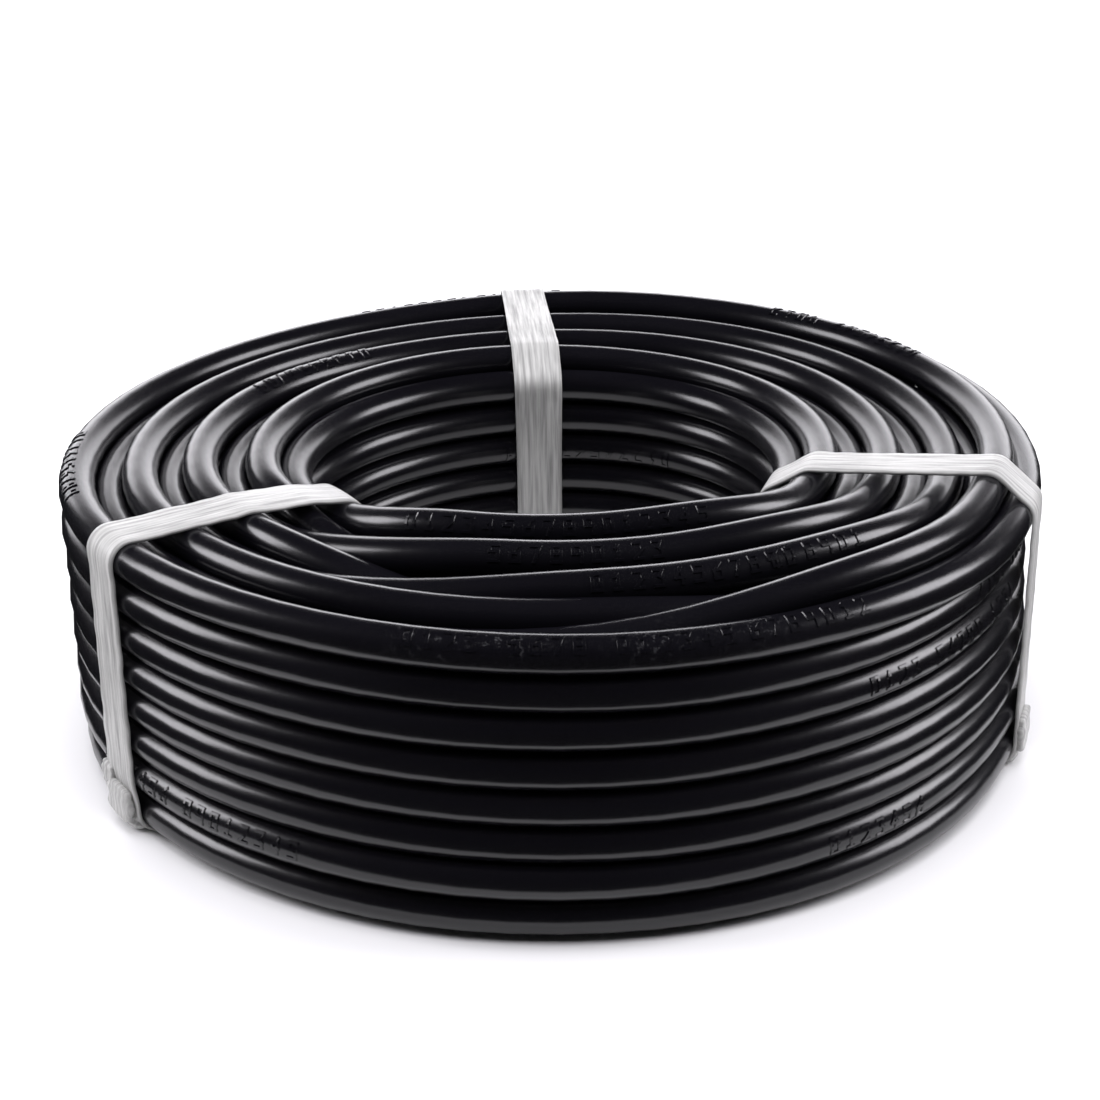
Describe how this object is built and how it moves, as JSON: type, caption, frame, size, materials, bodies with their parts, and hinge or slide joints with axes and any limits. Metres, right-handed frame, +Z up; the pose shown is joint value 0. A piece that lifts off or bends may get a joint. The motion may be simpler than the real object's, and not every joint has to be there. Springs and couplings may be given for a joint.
{
  "type": "power cable coil",
  "caption": "Black flexible power cable wound into a flat round coil with an open eye, held by three flat plastic straps.",
  "frame": {"origin": "on the coil's axis, on the surface that the coil lies on", "axes": "+Z up along the coil's axis, +X to the right and +Y away from the viewer of the picture"},
  "size_m": [0.2006, 0.2024, 0.062],
  "materials": {
    "cable_jacket": "satin",
    "strap_plastic": "satin"
  },
  "bodies": {
    "root": {"cable_coil": "cable_jacket", "strap_left": "strap_plastic", "strap_right": "strap_plastic", "strap_rear": "strap_plastic"}
  },
  "joints": []
}
